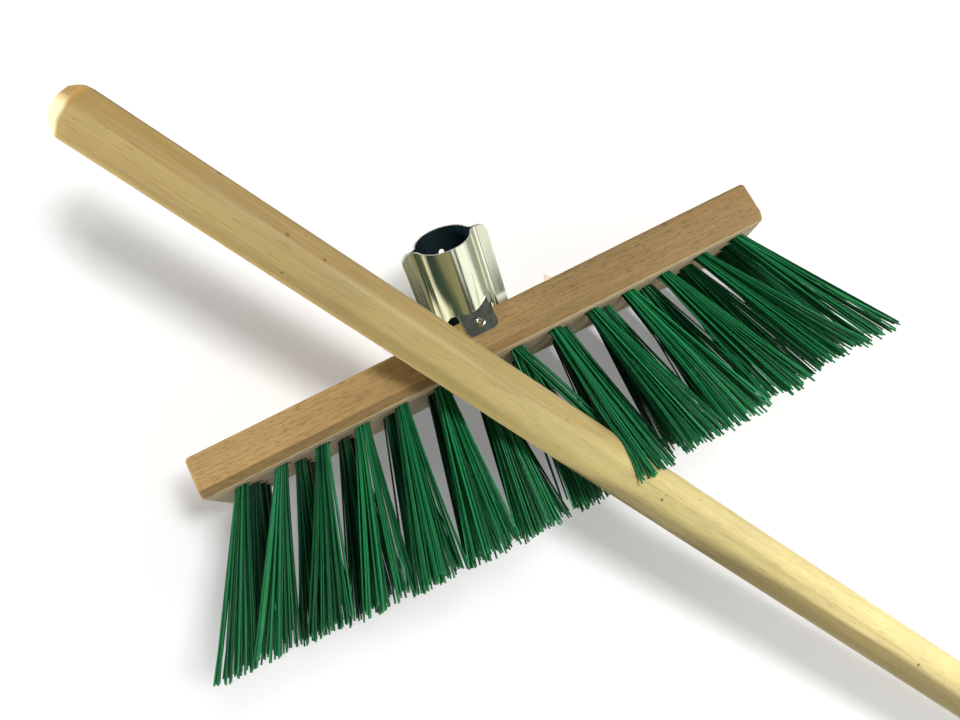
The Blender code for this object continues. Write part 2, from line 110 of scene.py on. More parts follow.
def add_node(tree, kind, inputs, **settings):
    """A new node with its settings and inputs."""
    node = tree.nodes.new(kind)
    for name, value in settings.items():
        setattr(node, name, value)
    feed(tree, node, inputs)
    return node


def new_group(name, kind, takes, gives):
    """A node group with its inputs and outputs, each given as its name, its kind and perhaps its first value."""
    tree = bpy.data.node_groups.new(name, kind)
    for in_out, sockets in (("INPUT", takes), ("OUTPUT", gives)):
        for label, socket_kind, *value in sockets:
            socket = tree.interface.new_socket(label, in_out=in_out, socket_type="NodeSocket" + socket_kind)
            if value:
                socket.default_value = value[0]
    return tree, tree.nodes.new("NodeGroupInput").outputs, tree.nodes.new("NodeGroupOutput").inputs


def use_group(tree, group, inputs):
    """The outputs of a group that is placed in a tree with its own values."""
    return add_node(tree, "ShaderNodeGroup", inputs, node_tree=group).outputs


def math_of(tree, operation, *values):
    """One Math node on sockets or numbers."""
    return add_node(tree, "ShaderNodeMath", dict(enumerate(values)), operation=operation).outputs[0]


def axes_of(tree, vector):
    """The X, Y and Z of a vector."""
    return add_node(tree, "ShaderNodeSeparateXYZ", {0: vector}).outputs


def ranged(tree, value, low, high, to_low=0.0, to_high=1.0):
    """A value between two limits, spread over another range and held at its ends."""
    limits = {"Value": value, "From Min": low, "From Max": high, "To Min": to_low, "To Max": to_high}
    return add_node(tree, "ShaderNodeMapRange", limits).outputs["Result"]


def tinted(tree, share, under, over):
    """A mix of two colours."""
    mix = tree.nodes.new("ShaderNodeMix")
    mix.data_type = "RGBA"
    slots = {socket.identifier: slot for slot, socket in enumerate(mix.inputs)}
    feed(tree, mix, {0: share, slots["A_Color"]: under, slots["B_Color"]: over})
    return next(socket for socket in mix.outputs if socket.type == "RGBA")


def stepped(tree, value, stops):
    """A colour ramp with its stops."""
    node = add_node(tree, "ShaderNodeValToRGB", {"Fac": value})
    (first, colour), *others = stops
    elements = node.color_ramp.elements
    elements.remove(elements[1])
    elements[0].position = first
    elements[0].color = (*colour, 1)
    for place, colour in others:
        elements.new(place).color = (*colour, 1)
    return node.outputs["Color"]


# What polished metal sees: strips of card round the socket, each at its own turn about the tube. Their places run
# from 0 behind the tube, through 0.25 at its left and 0.5 before it, to 1. Those on the left lean.
light_tent, tent_in, tent_out = new_group(
    "light_tent", "ShaderNodeTree", (("Direction", "Vector"),), (("Color", "Color"),)
)
tree = light_tent
tent_axes = []
for axis in ((0.0462, 0.8722, 0.4869), (0.9989, -0.0404, -0.0225), (0.0, -0.4874, 0.8732)):
    onto = add_node(tree, "ShaderNodeVectorMath", {0: tent_in["Direction"], 1: axis}, operation="DOT_PRODUCT")
    tent_axes.append(onto.outputs["Value"])
along_tube, to_right, to_front = tent_axes
place = math_of(tree, "MULTIPLY_ADD", math_of(tree, "ARCTAN2", to_right, to_front), 1 / math.tau, 0.5)
slant = ranged(tree, along_tube, -0.52, -0.42, -0.052, 0.052)
slant = math_of(tree, "MULTIPLY", slant, ranged(tree, place, 0.50, 0.42))
strips = stepped(
    tree,
    math_of(tree, "ADD", place, slant),
    (
        (0.083, (0.46, 0.49, 0.36)),
        (0.115, (0.14, 0.16, 0.10)),
        (0.150, (0.90, 0.89, 0.72)),
        (0.210, (1.25, 1.20, 0.95)),
        (0.240, (0.88, 0.84, 0.63)),
        (0.270, (0.58, 0.54, 0.38)),
        (0.284, (0.42, 0.39, 0.26)),
        (0.297, (0.045, 0.065, 0.045)),
        (0.366, (0.040, 0.062, 0.042)),
        (0.394, (0.27, 0.26, 0.14)),
        (0.450, (0.275, 0.245, 0.115)),
        (0.496, (0.31, 0.29, 0.175)),
        (0.506, (0.22, 0.18, 0.085)),
        (0.519, (0.22, 0.18, 0.085)),
        (0.524, (1.10, 1.14, 1.05)),
        (0.543, (1.10, 1.14, 1.04)),
        (0.551, (0.05, 0.07, 0.06)),
        (0.568, (0.05, 0.07, 0.06)),
        (0.577, (1.13, 1.14, 1.02)),
        (0.678, (1.13, 1.14, 1.02)),
        (0.722, (0.35, 0.42, 0.38)),
        (0.778, (0.38, 0.38, 0.28)),
        (0.828, (0.42, 0.41, 0.30)),
        (0.867, (0.70, 0.71, 0.56)),
        (0.917, (0.60, 0.60, 0.45)),
    ),
)
# Low down, darker strips stand before the wings
low_strips = stepped(
    tree,
    place,
    (
        (0.496, (0.16, 0.14, 0.08)),
        (0.506, (0.040, 0.052, 0.038)),
        (0.527, (0.036, 0.048, 0.036)),
        (0.531, (0.060, 0.052, 0.026)),
    ),
)
leftwards = ranged(tree, place, 0.527, 0.530, 0.022, 0.0)
lowness = ranged(tree, math_of(tree, "SUBTRACT", along_tube, leftwards), -0.468, -0.488)
lowness = math_of(tree, "MULTIPLY", lowness, math_of(tree, "COMPARE", place, 0.529, 0.029))
seen_card = tinted(tree, lowness, strips, low_strips)
overhead = ranged(tree, along_tube, 0.30, 0.60)
tree.links.new(tinted(tree, overhead, seen_card, (0.055, 0.065, 0.060)), tent_out["Color"])


def tent_from_socket(tree, point):
    """What the tent shows at a point of the sheet or card, by its direction from the middle of the socket."""
    socket_middle = (-0.1455, 0.3720, 0.0500)
    offset = add_node(tree, "ShaderNodeVectorMath", {0: point, 1: socket_middle}, operation="SUBTRACT")
    outward = add_node(tree, "ShaderNodeVectorMath", {0: offset.outputs[0]}, operation="NORMALIZE")
    return use_group(tree, light_tent, {"Direction": outward.outputs[0]})["Color"]


def emptied(owner):
    """The node tree of a world or material, without its first nodes."""
    owner.use_nodes = True
    owner.node_tree.nodes.clear()
    return owner.node_tree


def glowing(tree, kind, colour, strength=1.0):
    """A shader that gives light of its own."""
    return add_node(tree, kind, {"Color": colour, "Strength": strength}).outputs[0]


def mixed(tree, share, under, over):
    """A mix of two shaders."""
    return add_node(tree, "ShaderNodeMixShader", {0: share, 1: under, 2: over}).outputs[0]


def stand_up(name, corners, faces, finish):
    """A flat thing of the studio and its object coordinates, with an empty material."""
    mesh = bpy.data.meshes.new(name)
    mesh.from_pydata(corners, [], faces)
    mesh.materials.append(bpy.data.materials.new(finish))
    piece = bpy.data.objects.new(name, mesh)
    studio.collection.objects.link(piece)
    tree = emptied(mesh.materials[0])
    return piece, tree, tree.nodes.new("ShaderNodeTexCoord").outputs["Object"]


studio.world = bpy.data.worlds.new("studio_room")
tree = emptied(studio.world)
ray = tree.nodes.new("ShaderNodeLightPath").outputs
direction = tree.nodes.new("ShaderNodeTexCoord").outputs["Generated"]
soft_light = glowing(tree, "ShaderNodeBackground", white, 0.235)
mirrored = glowing(tree, "ShaderNodeBackground", use_group(tree, light_tent, {"Direction": direction})["Color"])
backdrop = glowing(tree, "ShaderNodeBackground", (0.8, 0.8, 0.8))
seen = mixed(tree, ray["Is Camera Ray"], mixed(tree, ray["Is Glossy Ray"], soft_light, mirrored), backdrop)
add_node(tree, "ShaderNodeOutputWorld", {"Surface": seen})

sheet_reach = 6.0
sheet_corners = [(x * sheet_reach, y * sheet_reach, 0) for x, y in ((-1, -1), (1, -1), (1, 1), (-1, 1))]
paper_sheet, tree, point = stand_up("paper_sheet", sheet_corners, ((0, 1, 2, 3),), "white_paper")
ray = tree.nodes.new("ShaderNodeLightPath").outputs
lit = add_node(tree, "ShaderNodeBsdfDiffuse", {"Color": (0.90, 0.90, 0.90)}).outputs[0]
glow = glowing(tree, "ShaderNodeEmission", white)
seen = mixed(tree, math_of(tree, "MULTIPLY", ray["Is Camera Ray"], 0.22), lit, glow)
mirrored = glowing(tree, "ShaderNodeEmission", tent_from_socket(tree, point))
add_node(tree, "ShaderNodeOutputMaterial", {"Surface": mixed(tree, ray["Is Glossy Ray"], seen, mirrored)})
paper_sheet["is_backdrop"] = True

# A card, upright behind the block and then sloping over the bristles, which only mirrored rays meet, and only from
# the socket's side: it carries the tent's strips on, so the green of the bristles stays out of the metal
card_back, card_front, card_rise, card_top = 0.3265, 0.232, 0.055, 0.095
card_corners = (
    (-0.37, card_back, 0),
    (0.07, card_back, 0),
    (0.07, card_back, card_rise),
    (-0.37, card_back, card_rise),
    (0.10, card_front, card_top),
    (-0.42, card_front, card_top),
)
front_card, tree, point = stand_up("front_card", card_corners, ((0, 3, 2, 1), (3, 5, 4, 2)), "striped_card")
x, y, z = axes_of(tree, point)
before_wing = math_of(tree, "COMPARE", x, -0.120, 0.022)
before_wing = math_of(tree, "MULTIPLY", before_wing, ranged(tree, z, card_rise, 0.049))
card_tone = tinted(tree, before_wing, tent_from_socket(tree, point), (0.080, 0.072, 0.036))
card_side = tree.nodes.new("ShaderNodeNewGeometry").outputs["Backfacing"]
see_through = tree.nodes.new("ShaderNodeBsdfTransparent").outputs[0]
seen = mixed(tree, card_side, glowing(tree, "ShaderNodeEmission", card_tone), see_through)
add_node(tree, "ShaderNodeOutputMaterial", {"Surface": seen})
for hidden_from in ("camera", "diffuse", "shadow", "transmission"):
    setattr(front_card, "visible_" + hidden_from, False)
front_card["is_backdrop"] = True


# The block: a bar of planed beech, chamfered under its long edges and rounded elsewhere, with a blind hole for
# each tuft. It is left bare, so its pores and the ends of its fibres show.
head_at, head_tilt = (-0.145666, 0.327367, 0.061642), math.radians(-107.130109)
head_place = Matrix.Translation(head_at) @ Matrix.Rotation(head_tilt, 4, "X")
block_length, block_depth, block_height = 0.330, 0.058, 0.0235
block_edge, chamfer_depth, chamfer_height = 0.0024, 0.003, 0.0045
tuft_counts = (14, 12, 12, 12)
tuft_backs = (0.01421, 0.024805, 0.035399, 0.045994)
tuft_ends = ((-0.1466, 0.1498), (-0.1430, 0.1480), (-0.1430, 0.1480), (-0.1430, 0.1480))
tuft_hole, tuft_hole_depth = 0.0042, 0.004
nick_at, nick_turn, nick_size = (-0.1615, 0.0290, 0), math.radians(14), (0.0030, 0.0007, 0.0012)


def tuft_places(row):
    """The X of each tuft in a row, in the head's own frame."""
    first, last = tuft_ends[row]
    step = (last - first) / (tuft_counts[row] - 1)
    return [first + step * tuft for tuft in range(tuft_counts[row])]


def finished(name, shape, finishes, body, *stands_for):
    """A finished piece: its place is in its mesh, and it rides on a body in place of its solids, if it has any."""
    piece = bpy.data.objects.new(name, shape)
    studio.collection.objects.link(piece)
    for finish in finishes:
        if finish.name not in shape.materials:
            shape.materials.append(finish)
    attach(piece, body)
    if stands_for:
        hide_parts(*stands_for)
    piece.visible_glossy = name not in ("beech_block", "pine_handle")
    return piece


def mesh_of(shape):
    """The mesh of a bmesh, with its faces turned outwards."""
    bmesh.ops.recalc_face_normals(shape, faces=shape.faces)
    mesh = bpy.data.meshes.new("rough")
    shape.to_mesh(mesh)
    shape.free()
    return mesh


def worked(mesh, *steps):
    """The mesh after some modifiers, each given as its type and its settings. A Boolean's cutter is a mesh."""
    rough = bpy.data.objects.new("rough", mesh)
    studio.collection.objects.link(rough)
    cutters = []
    for kind, settings in steps:
        modifier = rough.modifiers.new(kind.title(), kind)
        for key, value in settings.items():
            if isinstance(value, bpy.types.Mesh):
                value = bpy.data.objects.new("cutter", value)
                studio.collection.objects.link(value)
                cutters.append(value)
            setattr(modifier, key, value)
    graph = bpy.context.evaluated_depsgraph_get()
    made = bpy.data.meshes.new_from_object(rough.evaluated_get(graph))
    for used in (rough, *cutters):
        bpy.data.objects.remove(used)
    return made


def bevel(width, segments, degrees):
    """A step that rounds every edge sharper than an angle."""
    limit = math.radians(degrees)
    return "BEVEL", {"width": width, "segments": segments, "limit_method": "ANGLE", "angle_limit": limit}


def boolean(operation, other):
    """A step that joins another mesh or cuts with it."""
    return "BOOLEAN", {"object": other, "operation": operation, "solver": "EXACT"}


def drill(shape, radius, depth, place, sides):
    """Adds a round cutter, with its middle at a place."""
    bmesh.ops.create_cone(
        shape, cap_ends=True, segments=sides, radius1=radius, radius2=radius, depth=depth, matrix=place
    )


def smoothed(mesh, degrees):
    """The mesh shaded smooth between its sharp edges."""
    mesh.shade_smooth()
    mesh.set_sharp_from_angle(angle=math.radians(degrees))
    return mesh


block_shape = bmesh.new()
bmesh.ops.create_cube(block_shape, size=1.0)
for corner in block_shape.verts:
    x, y, z = corner.co
    corner.co = (x * block_length, (y + 0.5) * block_depth, (z + 0.5) * block_height)
for side in (-1, 1):
    middle = block_depth / 2
    on_chamfer = Vector((0, middle + side * (middle - chamfer_depth), 0))
    outward = Vector((0, side * chamfer_height, -chamfer_depth))
    solid = block_shape.verts[:] + block_shape.edges[:] + block_shape.faces[:]
    cut = bmesh.ops.bisect_plane(block_shape, geom=solid, plane_co=on_chamfer, plane_no=outward, clear_outer=True)
    bmesh.ops.edgenet_fill(block_shape, edges=[e for e in cut["geom_cut"] if isinstance(e, bmesh.types.BMEdge)])

holes = bmesh.new()
for row, back in enumerate(tuft_backs):
    for place_x in tuft_places(row):
        drill(holes, tuft_hole, 2 * tuft_hole_depth, Matrix.Translation((place_x, back, 0)), 20)
nick = Matrix.Translation(nick_at) @ Matrix.Rotation(nick_turn, 4, "Z") @ Matrix.Diagonal((*nick_size, 1))
bmesh.ops.create_icosphere(holes, subdivisions=2, radius=1, matrix=nick)

block_mesh = worked(mesh_of(block_shape), bevel(block_edge, 5, 60), boolean("DIFFERENCE", mesh_of(holes)))
even_normals = ("WEIGHTED_NORMAL", {"keep_sharp": True})
block_mesh = worked(smoothed(block_mesh, 32), even_normals)
block_mesh.transform(head_place)


def plain_noise(tree, vector, stretch, scale, detail, roughness=0.5):
    """Noise on coordinates that are shortened along X, so that its grains run along X."""
    axes = (stretch, 1, 1)
    if isinstance(stretch, bpy.types.NodeSocket):
        axes = add_node(tree, "ShaderNodeCombineXYZ", dict(enumerate(axes))).outputs[0]
    squeezed = add_node(tree, "ShaderNodeVectorMath", {0: vector, 1: axes}, operation="MULTIPLY").outputs[0]
    inputs = {"Vector": squeezed, "Scale": scale, "Detail": detail, "Roughness": roughness}
    return add_node(tree, "ShaderNodeTexNoise", inputs).outputs["Fac"]


# How wood looks close to: growth bands, fibres and pores, all of which run along X
wood_figure, figure_in, figure_out = new_group(
    "wood_figure",
    "ShaderNodeTree",
    (
        ("Vector", "Vector"),
        ("Band Width", "Float", 0.004),
        ("Band Wander", "Float", 0.5),
        ("Fibre Scale", "Float", 1500.0),
        ("Fibre Stretch", "Float", 0.03),
        ("Pore Scale", "Float", 1800.0),
        ("Pore Stretch", "Float", 0.12),
    ),
    (("Bands", "Float"), ("Fibres", "Float"), ("Pores", "Float"), ("Blotches", "Float")),
)
tree, vector = wood_figure, figure_in["Vector"]
x, y, z = axes_of(tree, vector)
ring_count = math_of(tree, "DIVIDE", math_of(tree, "MULTIPLY_ADD", y, 0.8, z), figure_in["Band Width"])
wander = math_of(tree, "MULTIPLY", figure_in["Band Wander"], 12.0)
wander = math_of(tree, "MULTIPLY", plain_noise(tree, vector, 0.12, 22.0, 2.0), wander)
ring_share = math_of(tree, "FRACT", math_of(tree, "ADD", ring_count, wander))
bands = math_of(tree, "POWER", ring_share, 3.0)
fibres = plain_noise(tree, vector, figure_in["Fibre Stretch"], figure_in["Fibre Scale"], 3.0, 0.6)
pores = plain_noise(tree, vector, figure_in["Pore Stretch"], figure_in["Pore Scale"], 1.0)
blotches = plain_noise(tree, vector, 0.25, 60.0, 3.0, 0.6)
for mask, value, low, high in (
    ("Bands", bands, 0.0, 1.0),
    ("Fibres", fibres, 0.30, 0.70),
    ("Pores", pores, 0.60, 0.70),
    ("Blotches", blotches, 0.30, 0.70),
):
    tree.links.new(ranged(tree, value, low, high), figure_out[mask])

# What handling leaves: small dents and specks of dirt
handling_marks, marks_in, marks_out = new_group(
    "handling_marks",
    "ShaderNodeTree",
    (("Vector", "Vector"), ("Mark Scale", "Float", 120.0), ("Mark Share", "Float", 0.12)),
    (("Marks", "Float"), ("Grime", "Float")),
)
tree, vector = handling_marks, marks_in["Vector"]
cells = add_node(tree, "ShaderNodeTexVoronoi", {"Vector": vector, "Scale": marks_in["Mark Scale"]}).outputs
chosen = add_node(tree, "ShaderNodeSeparateColor", {0: cells["Color"]}).outputs
picked = math_of(tree, "LESS_THAN", chosen["Red"], marks_in["Mark Share"])
mark_size = math_of(tree, "MULTIPLY_ADD", chosen["Green"], 0.16, 0.06)
in_mark = math_of(tree, "SUBTRACT", 1.0, math_of(tree, "DIVIDE", cells["Distance"], mark_size))
tree.links.new(math_of(tree, "MULTIPLY", picked, ranged(tree, in_mark, 0.0, 0.6)), marks_out["Marks"])
grime = plain_noise(tree, vector, 0.5, 45.0, 4.0, 0.65)
tree.links.new(ranged(tree, grime, 0.45, 0.75), marks_out["Grime"])


def new_finish(name, place):
    """A material, its node tree, its Principled shader, and object coordinates in a piece's own frame."""
    made = bpy.data.materials.new(name)
    made.use_nodes = True
    tree = made.node_tree
    objects = tree.nodes.new("ShaderNodeTexCoord").outputs["Object"]
    turned = {"Vector": objects, "Location": place.to_translation(), "Rotation": place.to_euler()}
    own = add_node(tree, "ShaderNodeMapping", turned, vector_type="TEXTURE").outputs["Vector"]
    return made, tree, tree.nodes["Principled BSDF"], own


def layered(tree, colour, *layers):
    """A colour under others, each laid on as strongly as a mask times its share."""
    for mask, share, over in layers:
        colour = tinted(tree, math_of(tree, "MULTIPLY", mask, share), colour, over)
    return colour


def bumped(tree, height, distance):
    """The normal of a surface with a height."""
    inputs = {"Height": height, "Distance": distance, "Strength": 1.0}
    return add_node(tree, "ShaderNodeBump", inputs).outputs["Normal"]


planed_beech, tree, shader, vector = new_finish("planed_beech", head_place)
x, y, z = axes_of(tree, vector)
figure = {
    "Vector": vector,
    "Band Width": 0.0027,
    "Band Wander": 0.22,
    "Fibre Scale": 1500.0,
    "Fibre Stretch": 0.022,
    "Pore Scale": 3300.0,
    "Pore Stretch": 0.060,
}
figure = use_group(tree, wood_figure, figure)
marks = use_group(tree, handling_marks, {"Vector": vector, "Mark Scale": 90.0, "Mark Share": 0.04})
# The block's tones change along it: lightest at its left end, darkest a little right of its middle
along_block = ranged(tree, x, -0.165, 0.165)
beech_tones = []
for tones in (
    ((0.307, 0.189, 0.069), (0.240, 0.144, 0.048), (0.158, 0.093, 0.027), (0.202, 0.115, 0.035)),
    ((0.425, 0.282, 0.113), (0.330, 0.213, 0.079), (0.213, 0.132, 0.043), (0.280, 0.168, 0.058)),
):
    beech_tones.append(stepped(tree, along_block, zip((0.10, 0.30, 0.66, 1.0), tones)))
# Painted light and shade on the lower chamfer: it is painted dark at the left end and light at the right end
chamfered = math_of(tree, "MULTIPLY", ranged(tree, z, 0.0049, 0.0044), ranged(tree, y, 0.0040, 0.0030))
# Painted light: the bristle face between the tufts, which lies in shade, is painted pale
painted_light_underside = math_of(tree, "MULTIPLY", ranged(tree, z, 0.0016, 0.0002), ranged(tree, y, 0.0024, 0.0034))
colour = layered(
    tree,
    tinted(tree, figure["Blotches"], *beech_tones),
    (figure["Bands"], 0.38, (0.170, 0.094, 0.029)),
    (figure["Fibres"], 0.46, (0.465, 0.315, 0.132)),
    (figure["Pores"], 0.70, (0.105, 0.054, 0.018)),
    (marks["Marks"], 0.50, (0.110, 0.062, 0.028)),
    (chamfered, 0.56, tinted(tree, along_block, (0.105, 0.068, 0.026), (0.330, 0.220, 0.090))),
    (painted_light_underside, 0.80, (0.780, 0.600, 0.390)),
)
height = math_of(tree, "SUBTRACT", figure["Fibres"], math_of(tree, "MULTIPLY", figure["Pores"], 1.5))
settings = {
    "Base Color": colour,
    "Roughness": ranged(tree, figure["Fibres"], 0.0, 1.0, 0.50, 0.64),
    "Specular IOR Level": 0.30,
    "Normal": bumped(tree, height, 0.00008),
}
feed(tree, shader, settings)

block = finished("beech_block", block_mesh, (planed_beech,), "head", "block")


# A splinter: a flake of bare beech that the plane tore up from the block's top front edge, beside the socket. It
# still hangs on by its foot.
splinter_at = (0.0410, 0.0010, block_height - 0.0007)
splinter_front = ((0, 0, 0), (0.0050, 0.0003, 0), (0.0044, 0.0002, 0.0012), (0.0016, -0.0002, 0.0040))
splinter_back = ((0.0002, 0.0007, 0), (0.0048, 0.0010, 0), (0.0040, 0.0008, 0.0009), (0.0014, 0.0003, 0.0038))
splinter_shape = bmesh.new()
ends = [splinter_shape.verts.new(point) for point in splinter_front + splinter_back]
for face in ((0, 1, 2, 3), (7, 6, 5, 4), (0, 4, 5, 1), (1, 5, 6, 2), (2, 6, 7, 3), (3, 7, 4, 0)):
    splinter_shape.faces.new([ends[i] for i in face])
splinter_mesh = mesh_of(splinter_shape)
splinter_mesh.transform(head_place @ Matrix.Translation(splinter_at))

torn_beech, tree, shader, vector = new_finish("torn_beech", head_place)
figure = use_group(tree, wood_figure, {"Vector": vector, "Fibre Scale": 2600.0})
colour = tinted(tree, figure["Fibres"], (0.62, 0.50, 0.33), (0.80, 0.70, 0.52))
feed(tree, shader, {"Base Color": colour, "Roughness": 0.7})

splinter = finished("splinter", splinter_mesh, (torn_beech,), "head")


# The handle: a turned pine pole, planed by hand to faint flats near its domed hand end and sawn square at the
# other, under clear varnish. It lies loose across the head.
pole_end = Vector((-0.275935, 0.516928, 0.088259))
pole_along = Vector((0.509122, -0.858483, -0.061655)).normalized()
pole_length, pole_radius, pole_sides = 1.200, 0.0143, 112
pole_across = Vector((0, 0, 1)).cross(pole_along).normalized()
pole_up = pole_along.cross(pole_across)
pole_place = Matrix.Translation(pole_end) @ Matrix((pole_up, pole_across, -pole_along)).transposed().to_4x4()
pole_flats, first_arris, flat_depth, flats_reach = 8, math.radians(17), 0.058, 0.40
out_of_round = 0.00010
crown, crown_radius, dome = 0.0022, 0.0098, 0.0085
sawn_edge, sawn_bevel = 0.0010, (0.0004, 0.0002)

# The profile runs from the middle of the dome over its shoulder and down the pole to the sawn end
profile = []
for step in range(7):
    share = step / 6
    profile.append((crown_radius * share, -crown * share**2))
for step in range(1, 11):
    share = 1 - step / 10
    profile.append((pole_radius - (pole_radius - crown_radius) * share**1.35, -dome + (dome - crown) * share))
for step in range(1, 41):
    profile.append((pole_radius, -dome - (pole_length - dome - sawn_edge) * (step / 40) ** 1.4))
profile.append((pole_radius - sawn_bevel[0], -pole_length + sawn_bevel[1]))
profile += [(pole_radius - sawn_edge, -pole_length), (0, -pole_length)]

pole_shape = bmesh.new()
rings = []
for radius, height in profile:
    if radius == 0:
        rings.append([pole_shape.verts.new((0, 0, height))])
        continue
    ring = []
    planed = math.exp(height / flats_reach) * min(1, radius / pole_radius)
    for side in range(pole_sides):
        turn = math.tau * side / pole_sides
        from_flat = (turn * pole_flats / math.tau % 1 - 0.5) * math.tau / pole_flats
        bent = radius * min(1, (1 - flat_depth * planed) / math.cos(from_flat))
        bent -= out_of_round * (1 + math.sin(3 * turn + 9 * height))
        turn += first_arris
        ring.append(pole_shape.verts.new((bent * math.cos(turn), bent * math.sin(turn), height)))
    rings.append(ring)
for upper, lower in zip(rings, rings[1:]):
    for side in range(pole_sides):
        after = (side + 1) % pole_sides
        corners = ((upper, side), (lower, side), (lower, after), (upper, after))
        pole_shape.faces.new(list(dict.fromkeys(ring[i % len(ring)] for ring, i in corners)))
pole_mesh = mesh_of(pole_shape)
pole_mesh.transform(pole_place)
smoothed(pole_mesh, 40)

grain_place = Matrix.Translation(pole_end) @ Matrix((pole_along, pole_across, pole_up)).transposed().to_4x4()
varnished_pine, tree, shader, vector = new_finish("varnished_pine", grain_place)
x, y, z = axes_of(tree, vector)
figure = {
    "Vector": vector,
    "Band Width": 0.0060,
    "Band Wander": 0.75,
    "Fibre Scale": 900.0,
    "Fibre Stretch": 0.020,
    "Pore Scale": 1900.0,
    "Pore Stretch": 0.060,
}
figure = use_group(tree, wood_figure, figure)
marks = use_group(tree, handling_marks, {"Vector": vector, "Mark Scale": 150.0, "Mark Share": 0.12})
pine_tones = []
for tones in (
    ((0.268, 0.158, 0.044), (0.255, 0.166, 0.052), (0.340, 0.262, 0.098), (0.270, 0.215, 0.085)),
    ((0.485, 0.355, 0.130), (0.365, 0.280, 0.106), (0.530, 0.445, 0.178), (0.740, 0.615, 0.270)),
):
    pine_tones.append(stepped(tree, ranged(tree, x, 0.0, 0.60), zip((0.0, 0.25, 0.50, 0.85), tones)))
dark_pine_and_painted_shade, pale_pine_and_painted_light = pine_tones
# Painted light and shade: one flank is painted in the darker, shaded tone and the other in the paler, lit tone, the
# shaded flank on one side at the hand end and on the other further down
across = math_of(tree, "DIVIDE", y, pole_radius)
border = math_of(tree, "MULTIPLY_ADD", plain_noise(tree, vector, 0.12, 60.0, 3.0), 0.7, -0.35)
shade_flip = ranged(tree, x, 0.24, 0.44, 1.0, -1.0)
painted_shade_side = math_of(tree, "MULTIPLY", math_of(tree, "ADD", across, border), shade_flip)
before_flip = ranged(tree, shade_flip, 0.2, 1.0)
low_side = math_of(tree, "MULTIPLY", ranged(tree, painted_shade_side, -0.42, -0.58), before_flip)
# Painted highlight: a thin pale line along the lower edge near the hand end
painted_edge_highlight = math_of(tree, "MULTIPLY", ranged(tree, across, -0.80, -0.93), before_flip)
dome_share = ranged(tree, x, 0.0098, 0.0078)
# The dome shows pale end grain, painted lit in cream on one side and in painted shade, orange brown, on the other
dome_end_grain_and_light = tinted(tree, ranged(tree, across, 0.40, -0.10), (0.520, 0.330, 0.100), (0.950, 0.860, 0.520))
dome_ring = math_of(tree, "COMPARE", x, 0.0096, 0.0009)
colour = layered(
    tree,
    tinted(tree, ranged(tree, painted_shade_side, 0.12, 0.34), pale_pine_and_painted_light, dark_pine_and_painted_shade),
    (low_side, 0.40, dark_pine_and_painted_shade),
    (painted_edge_highlight, 0.35, (0.780, 0.560, 0.220)),
    (figure["Blotches"], 0.30, dark_pine_and_painted_shade),
    (figure["Bands"], 0.28, (0.400, 0.270, 0.085)),
    (figure["Fibres"], 0.20, (0.700, 0.590, 0.310)),
    (figure["Pores"], 0.40, (0.230, 0.160, 0.060)),
    (marks["Grime"], 0.22, (0.270, 0.235, 0.130)),
    (marks["Marks"], 0.80, (0.110, 0.060, 0.018)),
    (dome_share, 0.85, dome_end_grain_and_light),
    (dome_ring, ranged(tree, across, -0.3, 0.3, 0.1, 0.65), (0.430, 0.230, 0.055)),
)
settings = {
    "Base Color": colour,
    "Roughness": 0.55,
    "Specular IOR Level": 0.22,
    "Coat Weight": 0.10,
    "Coat Roughness": 0.38,
    "Normal": bumped(tree, math_of(tree, "SUBTRACT", figure["Fibres"], marks["Marks"]), 0.00005),
}
feed(tree, shader, settings)

pole = finished("pine_handle", pole_mesh, (varnished_pine,), "handle", "handle")


# The bristles: straight green plastic filaments, bunched and stapled into each hole, splaying towards their
# cut tips. Where the handle lies on them they are pushed under it, over it and along its flank.
bristle_radius, bristles_a_tuft, root_depth = 0.00051, 42, 0.0025
front_fans = (-24.5, -23.5, -20.5, -15.25, -12.5, -9.5, -7.5, -1, 5.5, 10, 11.75, 15, 23, 22)
fan_left, fan_right = -27.0, 27.0
row_leans = (-8.0, 11.0, 19.0, 25.2)
row_lengths = (0.0935, 0.0950, 0.0955, 0.0960)
# Painted shade: how far each row's bristles are darkened at the left end and at the right end; the rear rows most, the
# front row only towards the left
left_shades, right_shades = (0.46, 0.97, 1.0, 1.0), (0.0, 0.25, 0.42, 0.62)
tip_spread = (0.0155, 0.0085)
first_seed = 11
to_world = head_place.to_3x3()

tufting, given, result = new_group(
    "tufting",
    "GeometryNodeTree",
    (
        ("Roots", "Geometry"),
        ("Bristle Radius", "Float", bristle_radius),
        ("Hole Radius", "Float", 0.0036),
        ("Ragged", "Float", 0.030),
        ("Bow", "Float", 0.0030),
        ("Handle Clearance", "Float", pole_radius + bristle_radius + 0.0004),
        ("Handle Ease", "Float", 0.003),
        ("Bends", "Int", 10),
        ("Seed", "Int", first_seed),
        ("Wide Axis", "Vector", to_world @ Vector((1, 0, 0))),
        ("Deep Axis", "Vector", to_world @ Vector((0, 1, 0))),
        ("Handle End", "Vector", pole_end),
        ("Handle Along", "Vector", pole_along),
        ("Finish", "Material"),
    ),
    (("Bristles", "Geometry"),),
)


def tuft_node(kind, inputs, **settings):
    """The outputs of a new geometry node."""
    return add_node(tufting, "GeometryNode" + kind, inputs, **settings).outputs


def calc(operation, *values):
    """A sum on numbers."""
    return math_of(tufting, operation, *values)


def aim(operation, *values):
    """A sum on places and directions."""
    slots = (0, "Scale") if operation == "SCALE" else (0, 1)
    made = add_node(tufting, "ShaderNodeVectorMath", dict(zip(slots, values)), operation=operation)
    return made.outputs["Value" if operation in ("DOT_PRODUCT", "LENGTH") else "Vector"]


